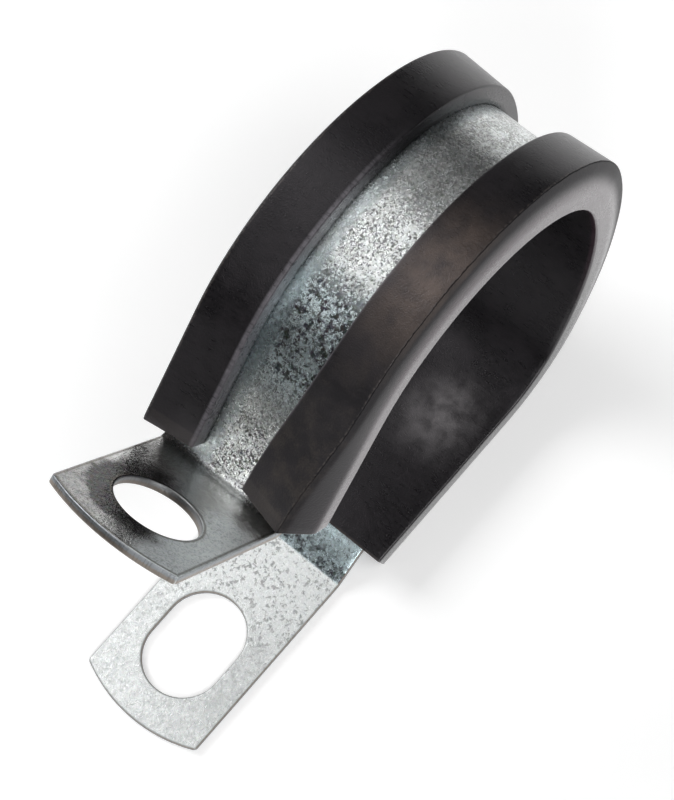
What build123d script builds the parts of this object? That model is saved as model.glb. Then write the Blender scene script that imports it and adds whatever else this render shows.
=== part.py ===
from build123d import *
import os
from math import cos, radians, sin, tan

# Cushioned P clip, sprung open as it is supplied: one steel band bent to a loop with two tabs, and
# one rubber liner that grips the band's edges round the loop. Millimetres, +Z up. The origin is the
# centre of the lower tab's slot, on the tab's underside. The tabs reach towards -X, the loop
# towards +X, and the cable runs through the loop along Y.

# The band
BAND_WIDTH = 12.7
BAND_THICKNESS = 0.8
HOLE_DIAMETER = 7.6
SLOT_TRAVEL = 2.7
TAB_END_BULGE = 1.46

# The lower tab, measured from the slot's centre
LOWER_TAB_REACH = 8.5
LOWER_TAB_ROOT = 12.2

# The joggle that lifts the band until the liner's lips are level with the tab's underside. Its crest
# is bent just wide enough for the lips, and the liner begins halfway round it.
JOGGLE_ANGLE = 28.0
JOGGLE_RADIUS = 1.4
LIP_BEND_RADIUS = 0.6

# The loop, along the middle of the band's thickness
SEAT_LENGTH = 17.4
HEEL_RADIUS = 10.0
HEEL_ANGLE = 53.0
BACK_RADIUS = 27.8
BACK_ANGLE = 49.0
CROWN_RADIUS = 17.2
CROWN_ANGLE = 125.5
SHOULDER_LENGTH = 12.8

# The upper tab, measured from the sharp corner of its bend
TAB_BEND_ANGLE = 101.0
TAB_BEND_RADIUS = 1.3
UPPER_TAB_LENGTH = 19.2
UPPER_HOLE_PLACE = 11.25

# The liner's section: its thickness under the band, how far it stands out past the band's edges at
# the bore and at the lips, and how far and how high the lips reach over the band's outer face
LINER_WALL = 1.6
SIDE_AT_BORE = 2.35
SIDE_AT_LIPS = 1.65
LIP_REACH = 2.95
LIP_HEIGHT = 2.0
LIP_SLOPE = 0.3
LINER_BORE_EDGE = 0.6
LIP_OUTER_EDGE = 0.35
LIP_INNER_EDGE = 0.3
GROOVE_CLEARANCE = 0.05

HALF_BAND = BAND_THICKNESS / 2
RISE = LIP_HEIGHT
CREST_RADIUS = HALF_BAND + LIP_HEIGHT + LIP_BEND_RADIUS


class Step:
    """One straight or bend of the band's middle line, in the XZ plane."""

    def __init__(self, x, z, heading, length=0.0, turn=0.0, radius=0.0):
        self.x = x
        self.z = z
        self.heading = heading
        self.length = length
        self.turn = turn
        self.radius = radius

    def plane(self):
        """Across the band at the start: local x is across the width, local y points out of the loop."""
        travel = (cos(radians(self.heading)), 0, sin(radians(self.heading)))
        return Plane(origin=(self.x, 0, self.z), x_dir=(0, -1, 0), z_dir=travel)

    def centre(self):
        """The centre of a bend: left of the way for a left turn, right of it for a right turn."""
        side = 1 if self.turn > 0 else -1
        left = radians(self.heading + 90 * side)
        return self.x + self.radius * cos(left), self.z + self.radius * sin(left)

    def end(self):
        """Where the step ends, and the heading there."""
        if self.turn == 0:
            way = radians(self.heading)
            return self.x + self.length * cos(way), self.z + self.length * sin(way), self.heading
        cx, cz = self.centre()
        swing = radians(self.turn)
        dx, dz = self.x - cx, self.z - cz
        x = cx + dx * cos(swing) - dz * sin(swing)
        z = cz + dx * sin(swing) + dz * cos(swing)
        return x, z, self.heading + self.turn

    def solid(self, section):
        """The section carried along the step."""
        face = self.plane() * section
        if self.turn == 0:
            return extrude(face, amount=self.length)
        cx, cz = self.centre()
        side = -1 if self.turn > 0 else 1
        return revolve(face, axis=Axis((cx, 0, cz), (0, side, 0)), revolution_arc=abs(self.turn))


def route(x, z, heading, moves):
    """The steps of a path given as ("straight", length) and ("bend", turn, radius)."""
    steps = []
    for kind, first, *rest in moves:
        if kind == "straight":
            step = Step(x, z, heading, length=first)
        else:
            step = Step(x, z, heading, turn=first, radius=rest[0])
        steps.append(step)
        x, z, heading = step.end()
    return steps


def carry(section, steps):
    """One solid with the same section along all the steps."""
    solid = steps[0].solid(section)
    for step in steps[1:]:
        solid = solid + step.solid(section)
    return solid


def setback(angle, radius):
    """How far before its sharp corner a bend begins."""
    return radius * tan(radians(angle) / 2)


def tab(plane, length, opening):
    """A flat tab from its root out to its curved end, with the opening cut through it."""
    half = BAND_WIDTH / 2
    corner = length - TAB_END_BULGE
    outline = Polyline((corner, -half), (0, -half), (0, half), (corner, half))
    end = ThreePointArc((corner, half), (length, 0), (corner, -half))
    flat = make_face(outline + end) - opening
    return extrude(plane * flat, amount=HALF_BAND, both=True)


def band_way():
    """The band's way from the lower tab's root to the upper tab's, and the part the liner covers."""
    foot = setback(JOGGLE_ANGLE, JOGGLE_RADIUS)
    crest = setback(JOGGLE_ANGLE, CREST_RADIUS)
    ramp = RISE / sin(radians(JOGGLE_ANGLE)) - foot - crest
    shoulder = SHOULDER_LENGTH - setback(TAB_BEND_ANGLE, TAB_BEND_RADIUS)
    half_crest = ("bend", -JOGGLE_ANGLE / 2, CREST_RADIUS)
    before = [
        ("bend", JOGGLE_ANGLE, JOGGLE_RADIUS),
        ("straight", ramp),
        half_crest,
    ]
    covered = [
        half_crest,
        ("straight", SEAT_LENGTH - crest),
        ("bend", HEEL_ANGLE, HEEL_RADIUS),
        ("bend", BACK_ANGLE, BACK_RADIUS),
        ("bend", CROWN_ANGLE, CROWN_RADIUS),
        ("straight", shoulder),
    ]
    after = [("bend", -TAB_BEND_ANGLE, TAB_BEND_RADIUS)]
    steps = route(LOWER_TAB_ROOT - foot, HALF_BAND, 0, before + covered + after)
    return steps, steps[len(before) : -len(after)]


def steel_band(steps):
    """The whole strip: the lower tab, the loop and the upper tab, bent from one piece."""
    section = Rectangle(BAND_WIDTH, BAND_THICKNESS)
    loop = carry(section, steps)

    root = steps[0].x
    lower_plane = Plane(origin=(root, 0, HALF_BAND), x_dir=(-1, 0, 0), z_dir=(0, 0, 1))
    slot = Pos(root, 0) * SlotCenterToCenter(SLOT_TRAVEL, HOLE_DIAMETER)
    lower = tab(lower_plane, root + LOWER_TAB_REACH, slot)

    bend = setback(TAB_BEND_ANGLE, TAB_BEND_RADIUS)
    x, z, heading = steps[-1].end()
    along = (cos(radians(heading)), 0, sin(radians(heading)))
    face = (-sin(radians(heading)), 0, cos(radians(heading)))
    upper_plane = Plane(origin=(x, 0, z), x_dir=along, z_dir=face)
    hole = Pos(UPPER_HOLE_PLACE - bend, 0) * Circle(HOLE_DIAMETER / 2)
    upper = tab(upper_plane, UPPER_TAB_LENGTH - bend, hole)
    return loop + lower + upper


def liner_section():
    """The rubber channel: a flat bore wall, a groove for each edge of the band, and two lips."""
    bore = -(HALF_BAND + LINER_WALL)
    floor = -(HALF_BAND + GROOVE_CLEARANCE)
    roof = HALF_BAND + GROOVE_CLEARANCE
    edge = BAND_WIDTH / 2
    groove = edge + GROOVE_CLEARANCE
    opening = edge - LIP_REACH
    top = HALF_BAND + LIP_HEIGHT
    bore_corner = (edge + SIDE_AT_BORE, bore)
    outer_corner = (edge + SIDE_AT_LIPS, top)
    inner_corner = (opening, top - LIP_SLOPE)
    right = [
        (0, bore),
        bore_corner,
        outer_corner,
        inner_corner,
        (opening, roof),
        (groove, roof),
        (groove, floor),
        (0, floor),
    ]
    half = make_face(Polyline(*right, close=True))
    for corner, size in (
        (bore_corner, LINER_BORE_EDGE),
        (outer_corner, LIP_OUTER_EDGE),
        (inner_corner, LIP_INNER_EDGE),
    ):
        point = half.vertices().sort_by_distance(corner)[0]
        half = fillet(point, radius=size)
    return half + mirror(half, about=Plane.YZ)


whole_way, liner_way = band_way()
band = steel_band(whole_way)
liner = carry(liner_section(), liner_way)

os.makedirs("parts", exist_ok=True)
export_step(band, "parts/steel_band.step")
export_step(liner, "parts/rubber_liner.step")
for name, piece in (("steel_band", band), ("rubber_liner", liner)):
    box = piece.bounding_box()
    print(name, "solids", len(piece.solids()), "volume", round(piece.volume, 1), box.min, box.max)
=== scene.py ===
from bisect import bisect_right
from math import atan2, ceil, cos, hypot, radians, sin, sqrt, tan

import bmesh
import bpy
from mathutils import Matrix, Vector
from mathutils.geometry import tessellate_polygon


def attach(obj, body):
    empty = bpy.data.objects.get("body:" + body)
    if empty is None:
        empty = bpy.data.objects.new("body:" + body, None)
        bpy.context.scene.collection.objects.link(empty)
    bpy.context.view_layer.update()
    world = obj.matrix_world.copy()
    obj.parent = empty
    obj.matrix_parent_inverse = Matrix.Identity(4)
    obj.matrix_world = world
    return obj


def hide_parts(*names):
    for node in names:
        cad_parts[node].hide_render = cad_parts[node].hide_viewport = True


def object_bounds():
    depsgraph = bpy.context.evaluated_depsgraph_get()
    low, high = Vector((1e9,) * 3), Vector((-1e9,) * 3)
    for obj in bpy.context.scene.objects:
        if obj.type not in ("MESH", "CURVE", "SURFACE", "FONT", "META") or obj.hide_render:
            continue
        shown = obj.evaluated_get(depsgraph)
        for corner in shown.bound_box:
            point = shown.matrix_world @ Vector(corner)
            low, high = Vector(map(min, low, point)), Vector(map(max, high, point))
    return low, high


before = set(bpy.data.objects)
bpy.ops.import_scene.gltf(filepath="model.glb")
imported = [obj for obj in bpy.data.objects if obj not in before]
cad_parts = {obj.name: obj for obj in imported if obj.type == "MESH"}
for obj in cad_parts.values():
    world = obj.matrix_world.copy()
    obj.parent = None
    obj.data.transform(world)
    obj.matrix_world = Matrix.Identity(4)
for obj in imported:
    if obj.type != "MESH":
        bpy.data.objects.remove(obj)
cad_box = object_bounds()

# A cushioned P clip, sprung open: a zinc plated steel band with a tab at each end, and a black rubber
# liner round its loop. Lengths are in millimetres unless a name says otherwise. A place on the band is
# given as (along, across, out): the way along its middle line from the lower tab's end, the way across
# its width, and the height above its middle on the face that looks out of the loop.
MM = 0.001

# The band, as the frame has it
BAND_WIDTH = 12.7
BAND_THICKNESS = 0.8
HOLE_RADIUS = 3.8
SLOT_TRAVEL = 2.7
TAB_END_BULGE = 1.46
LOWER_TAB_REACH = 8.5
LOWER_TAB_ROOT = 12.2
JOGGLE_ANGLE = 28.0
JOGGLE_RADIUS = 1.4
CREST_RADIUS = 3.0
LIP_HEIGHT = 2.0
SEAT_LENGTH = 17.4
HEEL_RADIUS = 10.0
HEEL_ANGLE = 53.0
BACK_RADIUS = 27.8
BACK_ANGLE = 49.0
CROWN_RADIUS = 17.2
CROWN_ANGLE = 125.5
SHOULDER_LENGTH = 12.8
TAB_BEND_ANGLE = 101.0
TAB_BEND_RADIUS = 1.3
UPPER_TAB_LENGTH = 19.2
UPPER_HOLE_PLACE = 11.25
HALF_WIDTH = BAND_WIDTH / 2
HALF_BAND = BAND_THICKNESS / 2

# The band's sheared edges, and how much its lower end is dressed back to stay within the frame's
EDGE_ROUNDING = 0.13
LOWER_TAB_TRIM = 0.01
# How far the upper tab's face leans across its width, as a slope at its middle, and how much less
# for each millimetre towards +Y
UPPER_TAB_TWIST = 0.15
UPPER_TAB_DISH = 0.012
TAB_CORNER = 0.45

# The liner's section: places across the band from its middle, heights out of the loop
BORE_HEIGHT = -2.0
BORE_SIDE = 8.59
BULGE_SIDE = 8.59
BULGE_HEIGHT = -0.1
BROW_SIDE = 8.24
BROW_HEIGHT = 1.55
LIP_TOP = 2.38
SEAM_PLACE = 7.85
LIP_EDGE_PLACE = 3.4
FAR_LIP_EDGE_PLACE = 3.12
LIP_EDGE_TOP = 2.1
LIP_TOE_PLACE = 3.0
GROOVE_CLEARANCE = 0.05
END_ROUNDING = 0.14
# How round the section's corners are, from the bore up over the lip
BORE_ROUNDING = 0.2
BULGE_ROUNDING = 4.0
BROW_ROUNDING = 2.0
SEAM_ROUNDING = 0.18
LIP_EDGE_ROUNDING = 0.22
FAR_LIP_EDGE_ROUNDING = 0.18

# The lip on the -Y side leans in over the band towards its upper end: how far its inner edge and its
# seam have moved across and out there, and over what length
EDGE_LEAN = (1.5, -0.7)
SEAM_LEAN = (1.1, 0.7)
EDGE_LEAN_LENGTH = 17.0
SEAM_LEAN_LENGTH = 14.0
# How much of that lean the inner edge takes even at its foot
LEAST_EDGE_LEAN = 0.8
# The lip on the +Y side is cut a little short, most at its inner edge
CUT_SHORT = 0.6
CUT_SHORT_LENGTH = 4.0
CUT_SHORT_WIDTH = 4.5

# How finely the meshes are divided: round a rolled edge, up its wall, across the band's faces, round
# the section's corners, and the step between points on the section's straights
EDGE_STEPS = 3
WALL_STEPS = 3
FACE_STEPS = 24
CORNER_STEPS = 6
SECTION_STEP = 0.6
# Points closer than this many metres are welded
WELD_DISTANCE = 1e-6
# The distance to an opening where there is none
NO_OPENING = 99.0


def setback(angle, radius):
    """How far before its sharp corner a bend begins."""
    return radius * tan(radians(angle) / 2)


class Step:
    """One straight or bend of the band's way; its bend is in radians a millimetre."""

    def __init__(self, start, x, z, heading, length, bend):
        self.start = start
        self.x = x
        self.z = z
        self.heading = heading
        self.length = length
        self.bend = bend

    def at(self, run):
        """The place and heading some way along the step."""
        if self.bend == 0:
            return self.x + run * cos(self.heading), self.z + run * sin(self.heading), self.heading
        heading = self.heading + run * self.bend
        x = self.x + (sin(heading) - sin(self.heading)) / self.bend
        z = self.z - (cos(heading) - cos(self.heading)) / self.bend
        return x, z, heading


class Way:
    """The band's middle line in the XZ plane, from the lower tab's end to the upper tab's."""

    STATION = 0.7
    TURN = radians(4)
    LEAST_RUN = 1e-6

    def __init__(self, x, z, moves):
        self.steps = []
        self.marks = {}
        start = heading = 0.0
        for name, kind, amount, *radius in moves:
            self.marks[name] = start
            bend = radians(amount) / abs(radians(amount)) / radius[0] if radius else 0.0
            length = abs(radians(amount)) * radius[0] if radius else amount
            step = Step(start, x, z, heading, length, bend)
            self.steps.append(step)
            x, z, heading = step.at(length)
            start += length
        self.length = start
        self.starts = [step.start for step in self.steps]

    def place(self, along, across, out):
        """Where a place on the flat blank comes to lie once the band is bent."""
        step = self.steps[max(0, bisect_right(self.starts, along) - 1)]
        x, z, heading = step.at(along - step.start)
        return Vector((x + out * sin(heading), across, z - out * cos(heading)))

    def stations(self, start, end):
        """Places along the way, close together in the bends, with one at each end of every step."""
        found = [start]
        for step in self.steps:
            low = max(start, step.start)
            high = min(end, step.start + step.length)
            if high - low < self.LEAST_RUN:
                continue
            run = high - low
            count = ceil(max(run / self.STATION, abs(step.bend) * run / self.TURN))
            found += [low + run * (i + 1) / count for i in range(count)]
        return found


def band_way():
    """The same straights and bends as the frame's band."""
    foot = setback(JOGGLE_ANGLE, JOGGLE_RADIUS)
    crest = setback(JOGGLE_ANGLE, CREST_RADIUS)
    corner = setback(TAB_BEND_ANGLE, TAB_BEND_RADIUS)
    moves = [
        ("lower_tab", "straight", LOWER_TAB_REACH + LOWER_TAB_ROOT - foot),
        ("joggle", "bend", JOGGLE_ANGLE, JOGGLE_RADIUS),
        ("ramp", "straight", LIP_HEIGHT / sin(radians(JOGGLE_ANGLE)) - foot - crest),
        ("crest", "bend", -JOGGLE_ANGLE / 2, CREST_RADIUS),
        ("liner", "bend", -JOGGLE_ANGLE / 2, CREST_RADIUS),
        ("seat", "straight", SEAT_LENGTH - crest),
        ("heel", "bend", HEEL_ANGLE, HEEL_RADIUS),
        ("back", "bend", BACK_ANGLE, BACK_RADIUS),
        ("crown", "bend", CROWN_ANGLE, CROWN_RADIUS),
        ("shoulder", "straight", SHOULDER_LENGTH - corner),
        ("tab_bend", "bend", -TAB_BEND_ANGLE, TAB_BEND_RADIUS),
        ("upper_tab", "straight", UPPER_TAB_LENGTH - corner),
    ]
    return Way(-LOWER_TAB_REACH, HALF_BAND, moves)


WAY = band_way()


class Skin:
    """A closed skin, gathered patch by patch in millimetres and made one mesh in metres."""

    def __init__(self):
        self.mesh = bmesh.new()
        self.laid_out = self.mesh.verts.layers.float_vector.new("laid_out")
        self.edges = self.mesh.verts.layers.float_vector.new("edges")

    def point(self, place, laid_out, edges):
        """One vertex, with its place on the flat piece and its distances from edges kept for the finish."""
        vert = self.mesh.verts.new(place * MM)
        vert[self.laid_out] = laid_out
        vert[self.edges] = edges
        return vert

    def patch(self, rows, ring=False):
        """Quads between neighbouring rows of vertices; in a ring, each row closes on itself."""
        for row, following in zip(rows, rows[1:]):
            pairs = list(zip(row, following))
            if ring:
                pairs.append(pairs[0])
            for (a, b), (c, d) in zip(pairs, pairs[1:]):
                self.mesh.faces.new((a, c, d, b))

    def finished(self, name):
        """The welded mesh as an object, shaded smooth, with all its faces looking outwards."""
        bmesh.ops.remove_doubles(self.mesh, verts=self.mesh.verts, dist=WELD_DISTANCE)
        bmesh.ops.recalc_face_normals(self.mesh, faces=self.mesh.faces)
        for face in self.mesh.faces:
            face.smooth = True
        data = bpy.data.meshes.new(name)
        self.mesh.to_mesh(data)
        self.mesh.free()
        piece = bpy.data.objects.new(name, data)
        bpy.context.scene.collection.objects.link(piece)
        return piece


def eased(share):
    """A smooth step from 0 to 1."""
    share = min(1.0, max(0.0, share))
    return share * share * (3 - 2 * share)


def spread(low, high, count):
    """Evenly spaced numbers from low to high, both among them."""
    return [low + (high - low) * i / count for i in range(count + 1)]


def quarter():
    """Steps round a quarter circle, as (cosine, sine) from the side to the top."""
    return [(cos(angle), sin(angle)) for angle in spread(0.0, radians(90), EDGE_STEPS)]


class Tab:
    """A flat tab of the band. Its own places are (outwards from its root, across)."""

    SIDE_POINTS = 34
    CORNER_POINTS = 5
    END_POINTS = 26
    RINGS = [0.0, 0.03, 0.08, 0.16, 0.3, 0.5, 0.7, 0.84, 0.92, 0.97, 1.0]

    def __init__(self, root, side, length, opening_place, travel):
        self.root = root
        self.side = side
        self.length = length
        self.opening_place = opening_place
        self.travel = travel
        self.end_radius = (HALF_WIDTH**2 + TAB_END_BULGE**2) / (2 * TAB_END_BULGE)
        self.end_centre = length - self.end_radius

    def along(self, u):
        """The place along the band of a place outwards from the root."""
        return self.root + self.side * u

    def rim(self):
        """Points just inside the sheared edge from one side of the root round to the other, each
        with the direction out of the tab."""
        half = HALF_WIDTH - EDGE_ROUNDING
        end = self.end_radius - EDGE_ROUNDING
        corner = TAB_CORNER - EDGE_ROUNDING
        turn_place = self.end_centre + sqrt((end - corner) ** 2 - (half - corner) ** 2)
        meet = atan2(half - corner, turn_place - self.end_centre)
        found = [(u, half, 0.0, 1.0) for u in spread(0.0, turn_place, self.SIDE_POINTS)]
        for angle in spread(radians(90), meet, self.CORNER_POINTS)[1:]:
            u = turn_place + corner * cos(angle)
            found.append((u, half - corner + corner * sin(angle), cos(angle), sin(angle)))
        for angle in spread(meet, -meet, self.END_POINTS)[1:-1]:
            u = self.end_centre + end * cos(angle)
            found.append((u, end * sin(angle), cos(angle), sin(angle)))
        other = [(u, -v, nu, -nv) for u, v, nu, nv in found[: self.SIDE_POINTS + self.CORNER_POINTS + 1]]
        return found + other[::-1]

    def opening(self, angle, grow):
        """The edge of the hole or slot in a direction from its middle, and the way into the metal."""
        radius = HOLE_RADIUS + grow
        half = self.travel / 2
        if abs(sin(angle)) > 1e-9 and abs(radius * cos(angle) / sin(angle)) <= half:
            side = 1 if sin(angle) > 0 else -1
            return radius * cos(angle) / abs(sin(angle)), radius * side, 0.0, float(side)
        end = half if cos(angle) > 0 else -half
        reach = end * cos(angle) + sqrt(radius**2 - (half * sin(angle)) ** 2)
        u = reach * cos(angle)
        v = reach * sin(angle)
        return u, v, (u - end) / radius, v / radius

    def edge_distance(self, u, v):
        """How far a place is from the nearest sheared edge of the tab's outline or opening."""
        to_side = HALF_WIDTH - abs(v)
        to_end = self.end_radius - hypot(u - self.end_centre, v)
        from_middle = max(0.0, abs(u - self.opening_place) - self.travel / 2)
        to_opening = hypot(from_middle, v) - HOLE_RADIUS
        return min(to_side, to_end), to_opening


LOWER_TAB = Tab(
    WAY.marks["joggle"],
    -1,
    WAY.marks["joggle"] - LOWER_TAB_TRIM,
    WAY.marks["joggle"] - LOWER_TAB_REACH,
    SLOT_TRAVEL,
)
UPPER_TAB = Tab(
    WAY.marks["upper_tab"],
    1,
    WAY.length - WAY.marks["upper_tab"],
    UPPER_HOLE_PLACE - setback(TAB_BEND_ANGLE, TAB_BEND_RADIUS),
    0.0,
)


def band_vertex(skin, along, across, out):
    """A vertex of the band, which knows its distances from the outline and from the openings."""
    outline = HALF_WIDTH - abs(across)
    opening = NO_OPENING
    for tab in (LOWER_TAB, UPPER_TAB):
        u = (along - tab.root) * tab.side
        if u >= 0:
            outline, opening = tab.edge_distance(u, across)
    return skin.point(WAY.place(along, across, out), (along, across, out), (outline, opening, 0.0))


def edge_profile():
    """The sheared edge from the outer face to the inner one, as (outwards, out)."""
    r = EDGE_ROUNDING
    top = [(r * c, HALF_BAND - r + r * s) for c, s in quarter()[::-1]]
    wall = [(r, out) for out in spread(HALF_BAND - r, -HALF_BAND + r, WALL_STEPS)[1:-1]]
    bottom = [(r * c, -HALF_BAND + r - r * s) for c, s in quarter()]
    return top + wall + bottom


def band_faces(skin, across):
    """The loop's two faces between its sheared edges."""
    stations = WAY.stations(LOWER_TAB.root, UPPER_TAB.root)
    for out in (HALF_BAND, -HALF_BAND):
        skin.patch([[band_vertex(skin, s, y, out) for y in across] for s in stations])


def band_edges(skin):
    """The rolled edges all round the outline."""
    loop = WAY.stations(LOWER_TAB.root, UPPER_TAB.root)[1:-1]
    half = HALF_WIDTH - EDGE_ROUNDING
    line = [(s, half, 0.0, 1.0) for s in loop]
    for tab, way in ((UPPER_TAB, 1), (LOWER_TAB, -1)):
        rim = [(tab.along(u), v, nu * tab.side, nv) for u, v, nu, nv in tab.rim()]
        if way > 0:
            line += rim + [(s, -half, 0.0, -1.0) for s in loop[::-1]]
        else:
            line += rim[::-1]
    profile = edge_profile()
    rows = []
    for s, y, ns, ny in line:
        rows.append([band_vertex(skin, s + ns * o, y + ny * o, out) for o, out in profile])
    skin.patch(rows + rows[:1])


def tab_faces(skin, tab, across):
    """A tab's two faces as rings from its opening out to its outline, and the opening's wall."""
    root = [(0.0, v, -1.0, 0.0) for v in across[1:-1]]
    outline = tab.rim() + root
    middle = tab.opening_place
    openings = []
    for u, v, _, _ in outline:
        openings.append(tab.opening(atan2(v, u - middle), EDGE_ROUNDING))
    for out in (HALF_BAND, -HALF_BAND):
        rings = []
        for share in tab.RINGS:
            ring = []
            for (u, v, _, _), (ou, ov, _, _) in zip(outline, openings):
                inner = middle + ou
                place = tab.along(inner + (u - inner) * share)
                ring.append(band_vertex(skin, place, ov + (v - ov) * share, out))
            rings.append(ring)
        skin.patch(rings, ring=True)
    wall = []
    for inwards, out in edge_profile():
        ring = []
        for ou, ov, nu, nv in openings:
            u = middle + ou - nu * inwards
            ring.append(band_vertex(skin, tab.along(u), ov - nv * inwards, out))
        wall.append(ring)
    skin.patch(wall, ring=True)


def make_band():
    """The whole steel band, from one flat blank bent along its way."""
    skin = Skin()
    half = HALF_WIDTH - EDGE_ROUNDING
    across = spread(-half, half, FACE_STEPS)
    band_faces(skin, across)
    band_edges(skin)
    tab_faces(skin, LOWER_TAB, across)
    tab_faces(skin, UPPER_TAB, across)
    return skin.finished("band")


def rounded(corners):
    """A closed outline through corners given as (across, out, rounding)."""
    found = []
    for i, (y, n, rounding) in enumerate(corners):
        corner = Vector((y, n))
        if rounding == 0:
            found.append(corner)
            continue
        before = (Vector(corners[i - 1][:2]) - corner).normalized()
        after = (Vector(corners[(i + 1) % len(corners)][:2]) - corner).normalized()
        opening = before.angle(after)
        middle = corner + (before + after).normalized() * rounding / sin(opening / 2)
        reach = rounding / tan(opening / 2)
        first = (corner + before * reach - middle).normalized()
        last = (corner + after * reach - middle).normalized()
        for share in spread(0.0, 1.0, CORNER_STEPS):
            found.append(middle + first.slerp(last, share) * rounding)
    dense = []
    for a, b in zip(found, found[1:] + found[:1]):
        pieces = max(1, ceil((b - a).length / SECTION_STEP))
        dense += [a.lerp(b, i / pieces) for i in range(pieces)]
    return dense


def liner_outline():
    """The section's corners: the bore, then up one side, over the lip and down into the groove."""
    groove = HALF_WIDTH + GROOVE_CLEARANCE
    roof = HALF_BAND + GROOVE_CLEARANCE
    half = [
        (BORE_SIDE, BORE_HEIGHT, BORE_ROUNDING),
        (BULGE_SIDE, BULGE_HEIGHT, BULGE_ROUNDING),
        (BROW_SIDE, BROW_HEIGHT, BROW_ROUNDING),
        (SEAM_PLACE, LIP_TOP, SEAM_ROUNDING),
        (LIP_EDGE_PLACE, LIP_EDGE_TOP, LIP_EDGE_ROUNDING),
        (LIP_TOE_PLACE, roof, 0.0),
        (groove, roof, 0.0),
        (groove, -roof, 0.0),
    ]
    far = list(half)
    lip_edge = half.index((LIP_EDGE_PLACE, LIP_EDGE_TOP, LIP_EDGE_ROUNDING))
    far[lip_edge] = (FAR_LIP_EDGE_PLACE, LIP_EDGE_TOP, FAR_LIP_EDGE_ROUNDING)
    return far + [(-y, n, rounding) for y, n, rounding in half[::-1]]


def liner_section():
    """The section's points, with each one's distance past its seam towards the lip's inner edge,
    and the direction out of the rubber."""
    points = rounded(liner_outline())
    found = []
    for i, point in enumerate(points):
        side = 1 if point.x > 0 else -1
        past = (point - Vector((SEAM_PLACE * side, LIP_TOP))).length
        if abs(point.x) > SEAM_PLACE or point.y < 0:
            past = -past
        way = points[(i + 1) % len(points)] - points[i - 1]
        found.append((point.x, point.y, past, Vector((way.y, -way.x)).normalized()))
    return found


def leaned(left, across, out):
    """A point of the section moved to where it lies, with so much length left to the upper end."""
    edge = eased(1 - left / EDGE_LEAN_LENGTH)
    seam = eased(1 - left / SEAM_LEAN_LENGTH)
    inwards = (SEAM_PLACE - abs(across)) / (SEAM_PLACE - LIP_EDGE_PLACE)
    inwards = min(1.0, max(0.0, inwards))
    height = eased((out - BULGE_HEIGHT) / (LIP_EDGE_TOP - BULGE_HEIGHT))
    if across > 0 or out < BULGE_HEIGHT:
        return across, out
    if inwards == 1.0:
        height = max(height, LEAST_EDGE_LEAN)
        drop = eased((out - HALF_BAND) / (LIP_EDGE_TOP - HALF_BAND))
    else:
        drop = height
    move_across = SEAM_LEAN[0] * seam * (1 - inwards) + EDGE_LEAN[0] * edge * inwards
    move_out = SEAM_LEAN[1] * seam * (1 - inwards) + EDGE_LEAN[1] * edge * inwards
    return across + move_across * height, out + move_out * drop


def cut_short(left, across):
    """How much shorter the section is there, with so much length left to the upper end."""
    share = max(0.0, 1 - abs(across - LIP_EDGE_PLACE) / CUT_SHORT_WIDTH)
    return CUT_SHORT * share * eased(1 - left / CUT_SHORT_LENGTH)


def liner_row(skin, section, start, end, along, inset):
    """The section at one place along the loop, drawn in by an inset all round its outside."""
    slack = 2 * GROOVE_CLEARANCE
    from_end = min(along - start, end - along)
    row = []
    for y, n, past, outwards in section:
        groove = abs(y) < HALF_WIDTH + slack and abs(n) < HALF_BAND + slack
        inside = 0.0 if groove else inset
        across, out = leaned(end - along, y - outwards.x * inside, n - outwards.y * inside)
        place = WAY.place(along - cut_short(end - along, y), across, out)
        row.append(skin.point(place, (along, y, n), (past, from_end, 0.0)))
    return row


def make_liner():
    """The rubber channel carried along the loop, with softened cut ends."""
    skin = Skin()
    section = liner_section()
    start = WAY.marks["liner"]
    end = WAY.marks["tab_bend"]
    middle = WAY.stations(start + END_ROUNDING, end - END_ROUNDING)
    lead = [(start + END_ROUNDING * (1 - c), END_ROUNDING * (1 - s)) for c, s in quarter()[:-1]]
    tail = [(end - END_ROUNDING * (1 - c), END_ROUNDING * (1 - s)) for c, s in quarter()[:-1]]
    stations = lead + [(s, 0.0) for s in middle] + tail[::-1]
    rows = [liner_row(skin, section, start, end, s, inset) for s, inset in stations]
    skin.patch(rows, ring=True)
    flat = [Vector((y, n, 0.0)) for y, n, _, _ in section]
    for row in (rows[0], rows[-1]):
        for corners in tessellate_polygon([flat]):
            skin.mesh.faces.new([row[i] for i in corners])
    return skin.finished("liner")


class Value:
    """A number that changes over the surface: arithmetic on it adds the shader's Math nodes."""

    def __init__(self, finish, socket):
        self.finish = finish
        self.socket = socket

    def maths(self, operation, *others):
        inputs = dict(enumerate((self, *others)))
        return self.finish.node("Math", {"operation": operation}, inputs)

    def __add__(self, other):
        return self.maths("ADD", other)

    def __sub__(self, other):
        return self.maths("SUBTRACT", other)

    def __rsub__(self, other):
        return self.finish.node("Math", {"operation": "SUBTRACT"}, {0: other, 1: self})

    def __mul__(self, other):
        return self.maths("MULTIPLY", other)

    def __abs__(self):
        return self.maths("ABSOLUTE")

    __radd__ = __add__
    __rmul__ = __mul__

    def at_most(self, other):
        return self.maths("MINIMUM", other)

    def at_least(self, other):
        return self.maths("MAXIMUM", other)

    def rise(self, low, high):
        """0 below low, 1 above high and a smooth rise between; with low above high, a fall."""
        settings = {"interpolation_type": "SMOOTHSTEP"}
        inputs = {"Value": self, "From Min": low, "From Max": high}
        return self.finish.node("MapRange", settings, inputs)

    def near(self, middle, reach):
        """1 at a middle value, with a smooth fall to 0 a reach away on both sides."""
        return abs(self - middle).rise(reach, 0.0)


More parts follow.
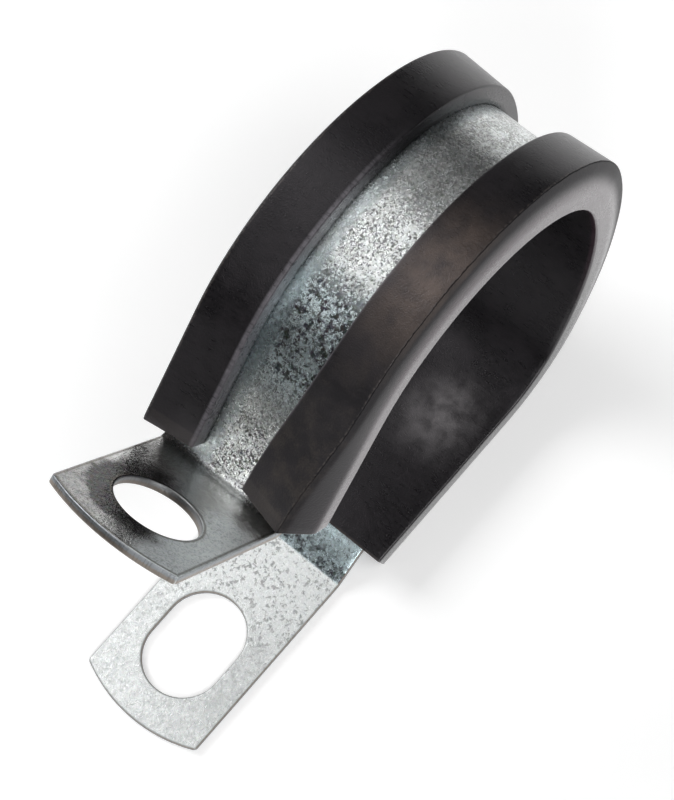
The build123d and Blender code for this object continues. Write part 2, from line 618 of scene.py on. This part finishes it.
class Finish:
    """A material, or the studio's surroundings, under construction: its nodes all come from node()."""

    def __init__(self, made):
        made.use_nodes = True
        self.made = made
        self.tree = made.node_tree
        self.tree.nodes.clear()

    def node(self, kind, settings=None, inputs=None, output=0):
        """A node of any type, with its settings made first and then its sockets fed."""
        made = self.tree.nodes.new("ShaderNode" + kind)
        for name, value in (settings or {}).items():
            setattr(made, name, value)
        for name, value in (inputs or {}).items():
            self.feed(made.inputs[name], value)
        return Value(self, made.outputs[output]) if made.outputs else None

    def feed(self, socket, value):
        """A link from a value, or a plain number or colour set on the socket."""
        if isinstance(value, Value):
            self.tree.links.new(value.socket, socket)
        else:
            socket.default_value = value

    def attribute(self, name):
        """A place or distances kept on the mesh, as a vector."""
        return self.node("Attribute", {"attribute_name": name}, output="Vector")

    def parts(self, vector):
        """A vector's three numbers."""
        first = self.node("SeparateXYZ", inputs={0: vector})
        return [Value(self, socket) for socket in first.socket.node.outputs]

    def vector(self, operation, first, second):
        return self.node("VectorMath", {"operation": operation}, {0: first, 1: second})

    def scaled(self, vector, scale):
        """A vector times one number, which may change over the surface."""
        return self.node("VectorMath", {"operation": "SCALE"}, {0: vector, "Scale": scale})

    def noise(self, vector, kind, output="Fac"):
        """Noise of a kind given as (scale, detail, roughness)."""
        scale, detail, roughness = kind
        inputs = {"Vector": vector, "Scale": scale, "Detail": detail, "Roughness": roughness}
        return self.node("TexNoise", None, inputs, output)

    def cells(self, vector, scale):
        """Cells with a colour each, drawn at chance."""
        inputs = {"Vector": vector, "Scale": scale}
        return self.node("TexVoronoi", {"feature": "F1"}, inputs, "Color")

    def mix(self, share, first, second):
        """Two colours mixed: all of the first at 0, all of the second at 1."""
        return self.node("Mix", {"data_type": "RGBA"}, {0: share, 6: first, 7: second}, output=2)

    def bump(self, height, inputs):
        """The surface's normal, raised and sunk by a height."""
        return self.node("Bump", None, {"Height": height, "Distance": BUMP_DEPTH, "Strength": 1.0, **inputs})

    def done(self, inputs):
        """The surface shader with these inputs, joined to the output."""
        shader = self.node("BsdfPrincipled", None, inputs)
        self.node("OutputMaterial", None, {"Surface": shader})
        return self.made


# Both finishes' bump, in metres
BUMP_DEPTH = 0.00003

# The plate's noises and the rubber's, as (scale, detail, roughness)
FLAKES = (4.4, 3.0, 0.65)
BLOBS = (1.9, 3.0, 0.7)
CURLS = (3.0, 2.0, 0.5)
PATCHES = (0.45, 3.0, 0.5)
SPECKS = (2.7, 3.0, 0.6)
RAGGED = (0.8, 2.0, 0.5)
WANDER = (3.0, 2.0, 0.5)
CLOUDS = (1.5, 3.0, 0.6)
TICKS = (6.0, 2.0, 0.5)
WORN_PATCHES = (0.25, 3.0, 0.5)
SHEEN_CLOUDS = (0.6, 3.0, 0.55)
STREAKS = (1.6, 3.0, 0.6)
GRAIN = (8.0, 2.0, 0.6)
SEAM_WOBBLE = (1.4, 3.0, 0.7)

# The plate's crystals: their scale, how far they wander, and how much their facets lean
CRYSTAL_SCALE = 4.2
CRYSTAL_WANDER = 0.5
FACET_LEAN = 0.075
LOWER_TAB_FACET_LEAN = 0.035
WANDER_TINT = 0.07

# Where the band's looks change along its blank: (where a stretch has nothing of its own look, where
# it has all of it), or (its middle, its reach) for the last three
RAMP_END = WAY.marks["ramp"]
BEND_START = WAY.marks["tab_bend"]
LOWER_TAB_ALONG = (RAMP_END + 0.1, RAMP_END - 0.25)
UPPER_TAB_ALONG = (BEND_START + 0.5, WAY.marks["upper_tab"] + 0.5)
FOOT_ALONG = (4.0, 17.0)
RAMP_ALONG = (30.0, 24.0)
RAMP_FOOT_ALONG = (23.6, 22.4)
TOP_ALONG = (100.0, 96.0)
THICK_FROM = (103.0, 107.0)
THICK_UNTIL = (118.5, 113.0)
LOW_ALONG = (118.0, 121.5)
PAINTED_LIGHT_ALONG = (128.6, 131.4)
TIP_ALONG = (131.0, 141.0)
CREASE_NEAR = (RAMP_END - 0.1, 0.3)
BRIGHT_BAND_NEAR = (117.5, 3.0)
BEND_NEAR = (BEND_START + 1.2, 7.0)
# The same across the band
TIP_ACROSS = (-2.0, 2.5)
PAINTED_LIGHT_ACROSS = (-0.8, -3.2)
BESIDE_LIP_ACROSS = (1.3, 2.2)
# The painted reflection of the dark lips beside the round hole: its middle, how it slants along and
# across, where it begins on that slant, and how far it reaches from the hole
LIP_REFLECTION_MIDDLE = BEND_START + UPPER_HOLE_PLACE
LIP_REFLECTION_SLANT = (0.4, 0.9)
LIP_REFLECTION_BEGINS = (-1.5, 1.0)
LIP_REFLECTION_REACH = (3.0, 1.2)

# What each stretch adds to the plate's tone, to its cloudiness and to how metallic it is
PLAIN_TONE = 0.8
TONE_SHARES = {
    "lower_tab": 0.02,
    # foot: painted light, the lower tab lighter towards its root where the loop shades it
    "foot": 0.2,
    # beside_lip: painted shade, the band darker beside the far lip, standing in for the lip's reflection in
    # the metal
    "beside_lip": -0.25,
    "thick": 0.1,
    "low": -0.3,
    # tip: painted shade, the upper tab's +Y half darker towards its end
    "tip": -0.45,
    # A painted reflection of the dark lips, darker beside the round hole
    "lip_reflection": -0.65,
    # Painted light: the upper tab's -Y half lighter towards its end
    "painted_light": 0.12,
    "bright_band": 0.15,
    # bend: a painted highlight, the band lighter along the tab bend
    "bend": 0.2,
    "ramp_foot": -0.1,
    # crease: a painted highlight along the joggle's crease
    "crease": 0.3,
}
PLAIN_CLOUDS = 0.28
CLOUD_SHARES = {"ramp": 0.5, "lower_tab": 0.3}
# The foot and the upper tab's lightened -Y half are less metallic so that they catch more light: part of
# their painted light
METALLIC_SHARES = {"lower_tab": -0.3, "foot": -0.5, "painted_light": -0.5}

# Where the noises turn to marks: (no mark, all of it)
FLAKE_MARKS = (0.47, 0.44)
BLOB_MARKS = (0.485, 0.455)
RAMP_MARKS = (0.53, 0.45)
SPECK_MARKS = (0.45, 0.415)
CURL_MARKS = (0.045, 0.025)
CURL_PATCHES = (0.38, 0.5)
BRIGHT_CRYSTALS = (0.8, 0.9)

# Distances from a sheared edge: (nothing, all) of the dull line beside it, the roll and the wall
DARK_LINE_OUTSIDE = (0.1, 0.18)
DARK_LINE_INSIDE = (0.42, 0.24)
ROLLED = (0.2, 0.1)
WALL = (0.06, 0.03)
EDGE_TICKS = (0.48, 0.34)
BROKEN = (0.08, -0.06)
DULL_WALL = (0.1, 0.02)
DULL_ROLL = (0.25, 0.1)

# The plate's colours, dark and pale, and those of its edges
PLAIN_DARK = (0.03, 0.028, 0.027, 1.0)
PLAIN_PALE = (0.96, 0.965, 0.95, 1.0)
BLUE_DARK = (0.022, 0.024, 0.027, 1.0)
BLUE_PALE = (0.76, 0.93, 0.98, 1.0)
DARK_EDGE_LINE = (0.13, 0.115, 0.092, 1.0)
# The lower tab's rolled edge is painted grey: painted shade that dims its highlight
ROLLED_EDGE = (0.3, 0.33, 0.33, 1.0)
CUT_WALL = (0.32, 0.34, 0.36, 1.0)
BROKEN_WALL = (0.32, 0.28, 0.245, 1.0)
# Painted shade: the wall inside the upper tab's round hole
HOLE_WALL = (0.09, 0.082, 0.076, 1.0)
TICK_GREY = (0.12, 0.12, 0.12, 1.0)

# The rubber's colours
RUBBER_DARK = (0.0048, 0.0044, 0.0052, 1.0)
RUBBER_PALE = (0.0122, 0.0107, 0.0122, 1.0)
# Painted sheen: the lighter lip and bore colours stand for the lights' reflection in the rubber
LIP_PAINTED_SHEEN = (0.09, 0.066, 0.053, 1.0)
BORE_PAINTED_SHEEN = (0.15, 0.142, 0.146, 1.0)
# Painted sheen: the far lip's inner wall lighter, for its reflection of the bright band beside it
INNER_WALL_PAINTED_SHEEN = (0.14, 0.132, 0.146, 1.0)
# Lighter brown along the cut ends, beside the mould line and on the cut edges
PALE_EDGE_BROWN = (0.055, 0.047, 0.043, 1.0)
CRACK_BLACK = (0.0015, 0.0015, 0.0015, 1.0)
# Painted sheen: a warm brown glow on the near lip towards its upper end
NEAR_LIP_PAINTED_SHEEN = (0.03, 0.0245, 0.0205, 1.0)
SIDE_PURPLE = (0.032, 0.012, 0.02, 1.0)
GLOSS_TINT = (1.0, 0.95, 1.0, 1.0)

# The patches of painted sheen, the lights' reflection in the rubber: (middle, reach) along and across, and
# from nothing to all out of the loop
LIP_SHEEN_PATCH = ((101.0, 9.0), (-6.2, 4.5), (1.6, 2.0))
BORE_SHEEN_PATCH = ((38.5, 6.0), (-4.0, 5.0), (-1.6, -1.9))


def grey(level):
    """A neutral grey as a colour."""
    return (level, level, level, 1.0)


def summed(base, on, shares):
    """A plain value, with each stretch's own share added where that stretch is."""
    for name, share in shares.items():
        base = base + on[name] * share
    return base


def zinc_regions(finish, place, opening):
    """Masks of the band's own stretches, from the places on its flat blank."""
    along, across, _ = finish.parts(place)
    lower_tab = along.rise(*LOWER_TAB_ALONG)
    upper_tab = along.rise(*UPPER_TAB_ALONG)
    loop = 1.0 - lower_tab - upper_tab
    ragged = finish.noise(place, RAGGED) - 0.5
    ragged_along = along + ragged * 2.0
    slant = (along - LIP_REFLECTION_MIDDLE) * LIP_REFLECTION_SLANT[0] + across * LIP_REFLECTION_SLANT[1] + ragged * 2.0
    lip_reflection = slant.rise(*LIP_REFLECTION_BEGINS) * (opening + ragged * 2.0).rise(*LIP_REFLECTION_REACH)
    painted_light = (across + ragged).rise(*PAINTED_LIGHT_ACROSS) * ragged_along.rise(*PAINTED_LIGHT_ALONG)
    return {
        "lower_tab": lower_tab,
        "upper_tab": upper_tab,
        "loop": loop,
        "ramp": loop * along.rise(*RAMP_ALONG),
        "ramp_foot": loop * (along + ragged * 1.5).rise(*RAMP_FOOT_ALONG),
        "crease": along.near(*CREASE_NEAR),
        "foot": along.rise(*FOOT_ALONG) * lower_tab,
        "tip": along.rise(*TIP_ALONG) * across.rise(*TIP_ACROSS),
        "lip_reflection": upper_tab * lip_reflection,
        "painted_light": upper_tab * painted_light,
        "bend": along.near(*BEND_NEAR),
        "bright_band": along.near(*BRIGHT_BAND_NEAR),
        "thick": ragged_along.rise(*THICK_FROM) * along.rise(*THICK_UNTIL),
        "top": along.rise(*TOP_ALONG),
        "low": loop * along.rise(*LOW_ALONG),
        "beside_lip": loop * (across + ragged).rise(*BESIDE_LIP_ACROSS),
    }


def zinc_marks(finish, place, warped, on):
    """The dark marks between the plate's crystals: curly and thick on the loop, faint on the tabs."""
    flakes = finish.noise(warped, FLAKES)
    blobs = finish.noise(warped, BLOBS)
    curls = finish.noise(warped, CURLS)
    patches = finish.noise(place, PATCHES)
    specks = finish.noise(warped, SPECKS)

    shift = (patches - 0.5) * 0.2
    fine = (flakes - shift).rise(*FLAKE_MARKS)
    coarse = (blobs - shift * 1.2).rise(*BLOB_MARKS) * on["thick"]
    lines = abs(curls - 0.5).rise(*CURL_MARKS) * patches.rise(*CURL_PATCHES)
    fine_on_loop = fine * (0.68 - on["top"] * 0.25)
    lines_on_loop = lines * (0.5 + on["thick"] * 0.2)
    loop = fine_on_loop.at_least(coarse * 0.9).at_least(lines_on_loop)
    loop = loop * (1.0 - on["beside_lip"] * 0.85) * (1.0 - on["ramp"] * 0.9)
    ramp = (blobs - shift * 1.5).rise(*RAMP_MARKS) * on["ramp_foot"] * 0.55
    lower = specks.rise(*SPECK_MARKS) * (0.12 + on["foot"] * 0.45)
    upper = fine * (0.14 + on["painted_light"] * 0.12) + lines * 0.08
    dark = loop * on["loop"] + ramp + lower * on["lower_tab"] + upper * on["upper_tab"]
    return dark, flakes


def zinc_edges(finish, place, out, rim, opening, colour, on):
    """The sheared edges over the skin's colour: a dull dark line beside the edge, then the wall,
    blue-grey where it was cut and browner where it broke away."""
    through = finish.vector("MULTIPLY", place, (1.0, 1.0, 0.12))
    ticks = finish.noise(through, TICKS)
    dark_line = rim.rise(*DARK_LINE_OUTSIDE) * rim.rise(*DARK_LINE_INSIDE) * on["upper_tab"] * 0.7
    colour = finish.mix(dark_line, colour, DARK_EDGE_LINE)
    rolled = rim.rise(*ROLLED) * on["lower_tab"] * 0.55
    colour = finish.mix(rolled, colour, ROLLED_EDGE)
    broken = (out + (ticks - 0.5) * 0.25).rise(*BROKEN)
    wall = finish.mix(broken, CUT_WALL, BROKEN_WALL)
    wall = finish.mix(opening.rise(*ROLLED) * on["upper_tab"] * 0.6, wall, HOLE_WALL)
    wall = finish.mix(ticks.rise(*EDGE_TICKS) * 0.4, wall, TICK_GREY)
    return finish.mix(rim.rise(*WALL), colour, wall)


def zinc_normal(finish, across, crystals, flakes, on):
    """The plate's facets, its fine bumps and the upper tab's lean."""
    facets = finish.vector("SUBTRACT", crystals, (0.5, 0.5, 0.5))
    lean = finish.scaled(facets, FACET_LEAN - on["lower_tab"] * (FACET_LEAN - LOWER_TAB_FACET_LEAN))
    slope = on["upper_tab"] * (UPPER_TAB_TWIST - across * UPPER_TAB_DISH)
    twist = finish.scaled((0.0, 1.0, 0.0), slope)
    normal = finish.vector("ADD", finish.node("NewGeometry", output="Normal"), twist)
    leaning = finish.vector("NORMALIZE", finish.vector("ADD", normal, lean), (0.0, 0.0, 0.0))
    return finish.bump(flakes, {"Normal": leaning})


def zinc_finish():
    """Bright zinc plate: a pale skin with dark marks between its crystals, over facets that catch
    the light one by one, with painted light and shade on some stretches."""
    finish = Finish(bpy.data.materials.new("zinc_plate"))
    place = finish.attribute("laid_out")
    along, across, out = finish.parts(place)
    outline, opening, _ = finish.parts(finish.attribute("edges"))
    on = zinc_regions(finish, place, opening)

    wander = finish.noise(place, WANDER, "Color")
    warped = finish.vector("ADD", place, finish.vector("MULTIPLY", wander, (CRYSTAL_WANDER,) * 3))
    crystals = finish.cells(warped, CRYSTAL_SCALE)
    chance, tilt, shade = finish.parts(crystals)
    clouds = finish.noise(place, CLOUDS) - 0.5
    dark, flakes = zinc_marks(finish, place, warped, on)

    bright = tilt.rise(*BRIGHT_CRYSTALS) * (on["loop"] * 0.14 + 0.02)
    mottle = (shade - 0.5) * (0.06 + on["loop"] * 0.1) + clouds * summed(PLAIN_CLOUDS, on, CLOUD_SHARES)
    tone = summed(PLAIN_TONE, on, TONE_SHARES) + mottle + bright - dark
    plain = finish.mix(tone, PLAIN_DARK, PLAIN_PALE)
    blue = finish.mix(tone, BLUE_DARK, BLUE_PALE)
    blueness = on["loop"] * (0.15 + on["thick"] * 0.6 + on["beside_lip"] * 0.3) + on["ramp"] * 0.8
    blueness = blueness + on["lower_tab"] * 0.15 + on["painted_light"] * 0.3
    colour = finish.mix(blueness + clouds * 0.5 * on["loop"], plain, blue)
    colour = finish.mix(WANDER_TINT, colour, wander)
    rim = outline.at_most(opening)

    rough = 0.27 + dark * 0.15 + (chance - 0.5) * 0.06 - on["upper_tab"] * 0.08
    rough = rough + rim.rise(*DULL_WALL) * 0.2 + rim.rise(*DULL_ROLL) * on["lower_tab"] * 0.2
    inputs = {
        "Base Color": zinc_edges(finish, place, out, rim, opening, colour, on),
        "Metallic": summed(1.0, on, METALLIC_SHARES),
        "Roughness": rough,
        "Normal": zinc_normal(finish, across, crystals, flakes, on),
    }
    return finish.done(inputs)


def painted_sheen_patch(place_parts, patch):
    """A mask of one patch of painted sheen."""
    along, across, out = place_parts
    near_along, near_across, out_from = patch
    return along.near(*near_along) * across.near(*near_across) * out.rise(*out_from)


def rubber_finish():
    """Matte black extruded rubber, glossier on its side faces, with a fine grain, a ragged mould line
    along each lip and a few patches of painted sheen where the lights would shine on it."""
    finish = Finish(bpy.data.materials.new("black_rubber"))
    place = finish.attribute("laid_out")
    past, from_end, _ = finish.parts(finish.attribute("edges"))
    place_parts = finish.parts(place)
    along, across, out = place_parts
    patch = finish.noise(place, WORN_PATCHES)
    sheen_clouds = finish.noise(place, SHEEN_CLOUDS)
    streaks = finish.noise(finish.vector("MULTIPLY", place, (2.2, 0.5, 2.2)), STREAKS)
    streaky = streaks - 0.5
    grain = finish.noise(place, GRAIN)
    grainy = grain - 0.5
    worn = (patch + streaky * 0.5).rise(0.42, 0.68)
    colour = finish.mix(worn * 0.7 + grainy * 0.9, RUBBER_DARK, RUBBER_PALE)

    # Painted sheen: lighter patches on the near lip and in the bore, where the rubber reflects the lights
    sheen_share = (sheen_clouds.rise(0.15, 0.8) + 0.15) * (0.9 + grainy * 0.6)
    colour = finish.mix(painted_sheen_patch(place_parts, LIP_SHEEN_PATCH) * sheen_share, colour, LIP_PAINTED_SHEEN)
    colour = finish.mix(painted_sheen_patch(place_parts, BORE_SHEEN_PATCH) * sheen_share, colour, BORE_PAINTED_SHEEN)
    # Painted sheen: the far lip's inner wall lighter grey where it reflects the bright band
    inner_wall_sheen = abs(across).rise(3.6, 3.35) * out.rise(0.45, 0.6) * along.rise(92.0, 103.0)
    colour = finish.mix(inner_wall_sheen * (0.6 + streaky * 1.2), colour, INNER_WALL_PAINTED_SHEEN)

    wobbly = past + (finish.noise(place, SEAM_WOBBLE) - 0.5) * 0.22
    crack = abs(wobbly + 0.02).rise(0.075, 0.03) * (patch.rise(0.3, 0.4) * 0.5 + 0.5)
    ridge = abs(wobbly - 0.1).rise(0.07, 0.03) * streaks.rise(0.4, 0.6)
    end_band = from_end.rise(1.55, 1.35) * past.rise(0.15, 0.4)
    cut_edge = from_end.rise(0.16, 0.05) * streaks.rise(0.3, 0.5)
    colour = finish.mix(end_band * 0.25 + ridge * 0.7 + cut_edge * 0.8, colour, PALE_EDGE_BROWN)
    colour = finish.mix(crack, colour, CRACK_BLACK)

    near_end = along.rise(102.0, 118.0)
    near_lip = near_end * across.rise(-2.0, -3.0) * out.rise(1.5, 1.9)
    # Painted sheen: warm brown mottle on the near lip towards its upper end
    near_lip_sheen = near_lip * (sheen_clouds + grainy * 0.5).rise(0.4, 0.75)
    colour = finish.mix(near_lip_sheen * 0.8, colour, NEAR_LIP_PAINTED_SHEEN)
    side = abs(across).rise(SEAM_PLACE + 0.1, SEAM_PLACE + 0.35) * (out + near_end * 0.9).rise(1.5, 0.0)
    colour = finish.mix(side * along.rise(55.0, 75.0), colour, SIDE_PURPLE)
    under_seam = past.rise(-2.2, -0.5) * past.rise(0.1, -0.02)
    rough = 0.29 + streaky * 0.14 + (patch - 0.5) * 0.1
    rough = rough + under_seam * 0.25 + crack * 0.4 + near_lip * 0.3
    inputs = {
        "Base Color": colour,
        "Roughness": rough,
        "Normal": finish.bump(grain - crack * 3.0, {}),
        "IOR": 1.45,
        "Specular Tint": GLOSS_TINT,
        "Coat Weight": side * (0.74 + grainy * 1.3),
        "Coat Roughness": 0.27,
    }
    return finish.done(inputs)


# The floor, in metres: its half width, and how far it lies under the clip
FLOOR_REACH = 6.0
FLOOR_GAP = 0.00002
FLOOR_GREY = 0.92
FLOOR_GLOW = 0.26

# The surroundings: the backdrop's strength as the camera sees it, and the fill that lights the clip
BACKDROP = 0.25
FILL = 0.01

# The soft lights: their distance from the clip's middle in metres, the power of a square metre of
# strength 1, and each one's name, direction, width, height and strength
CLIP_MIDDLE = (0.02, 0.0, 0.02)
LIGHT_DISTANCE = 0.6
LIGHT_POWER = 4
LIGHTS = [
    ("overhead_left", (-0.54, 0.27, 0.8), 0.2, 0.26, 0.8),
    ("overhead", (0.1, 0.27, 0.95), 0.5, 0.26, 1.08),
    ("overhead_right", (0.74, 0.27, 0.62), 0.3, 0.26, 0.25),
    ("near_high", (0.0, -0.47, 0.88), 0.3, 0.3, 3.8),
    ("far_high", (0.0, 0.77, 0.64), 0.3, 0.3, 4.7),
    ("left_high", (-0.66, -0.38, 0.64), 0.3, 0.3, 3.0),
    ("left_low", (-0.7, -0.7, 0.17), 0.3, 0.3, 0.4),
]

# The camera, as worked out for the photograph: its place in millimetres, its directions and its lens
CAMERA_PLACE = (-28.059, -58.073, 228.142)
CAMERA_RIGHT = (0.64915, -0.75846, -0.05784)
CAMERA_UP = (0.72749, 0.59683, 0.33845)
CAMERA_BACK = (-0.22218, -0.26179, 0.93920)
SENSOR_WIDTH = 36.0
LENS = 119.24
SHIFT_UP = -0.0033
NEAREST_SEEN = 0.01
FARTHEST_SEEN = 10.0


def make_floor():
    """A wide pale floor under the lower tab."""
    mesh = bmesh.new()
    bmesh.ops.create_grid(mesh, x_segments=4, y_segments=4, size=FLOOR_REACH)
    data = bpy.data.meshes.new("floor")
    mesh.to_mesh(data)
    mesh.free()
    floor = bpy.data.objects.new("floor", data)
    floor.location.z = cad_box[0][2] - FLOOR_GAP
    inputs = {
        "Base Color": grey(FLOOR_GREY),
        "Roughness": 1.0,
        "Specular IOR Level": 0.0,
        "Emission Color": grey(1.0),
        "Emission Strength": FLOOR_GLOW,
    }
    data.materials.append(Finish(bpy.data.materials.new("pale_floor")).done(inputs))
    bpy.context.scene.collection.objects.link(floor)


def softbox(name, towards, width, height, strength):
    """A soft rectangular light in a direction from the clip, looking back at it. Metres."""
    data = bpy.data.lights.new(name, "AREA")
    data.shape = "RECTANGLE"
    data.size = width
    data.size_y = height
    data.energy = strength * width * height * LIGHT_POWER
    lamp = bpy.data.objects.new(name, data)
    away = Vector(towards).normalized()
    lamp.location = Vector(CLIP_MIDDLE) + away * LIGHT_DISTANCE
    lamp.rotation_euler = away.to_track_quat("Z", "Y").to_euler()
    bpy.context.scene.collection.objects.link(lamp)


def light_the_scene():
    """The soft lights in their dim surroundings."""
    surroundings = Finish(bpy.data.worlds.new("studio"))
    seen = surroundings.node("LightPath", output="Is Camera Ray")
    strength = seen * BACKDROP + FILL
    background = surroundings.node("Background", None, {"Strength": strength, "Color": grey(1.0)})
    surroundings.node("OutputWorld", None, {"Surface": background})
    bpy.context.scene.world = surroundings.made
    for light in LIGHTS:
        softbox(*light)


def place_camera():
    """The camera at the place and lens worked out for the photograph."""
    data = bpy.data.cameras.new("camera")
    data.sensor_width = SENSOR_WIDTH
    data.lens = LENS
    data.shift_y = SHIFT_UP
    data.clip_start = NEAREST_SEEN
    data.clip_end = FARTHEST_SEEN
    camera = bpy.data.objects.new("camera", data)
    turn = Matrix((CAMERA_RIGHT, CAMERA_UP, CAMERA_BACK)).transposed().to_4x4()
    camera.matrix_world = Matrix.Translation(Vector(CAMERA_PLACE) * MM) @ turn
    bpy.context.scene.collection.objects.link(camera)
    bpy.context.scene.camera = camera


def add_piece(piece, node, material):
    """A finished piece, on the clip's one body, in the place of a node of the frame."""
    piece.data.materials.append(material)
    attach(piece, "root")
    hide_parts(node)


place_camera()
light_the_scene()
make_floor()
bpy.context.scene.view_settings.view_transform = "Standard"
add_piece(make_band(), "steel_band", zinc_finish())
add_piece(make_liner(), "rubber_liner", rubber_finish())
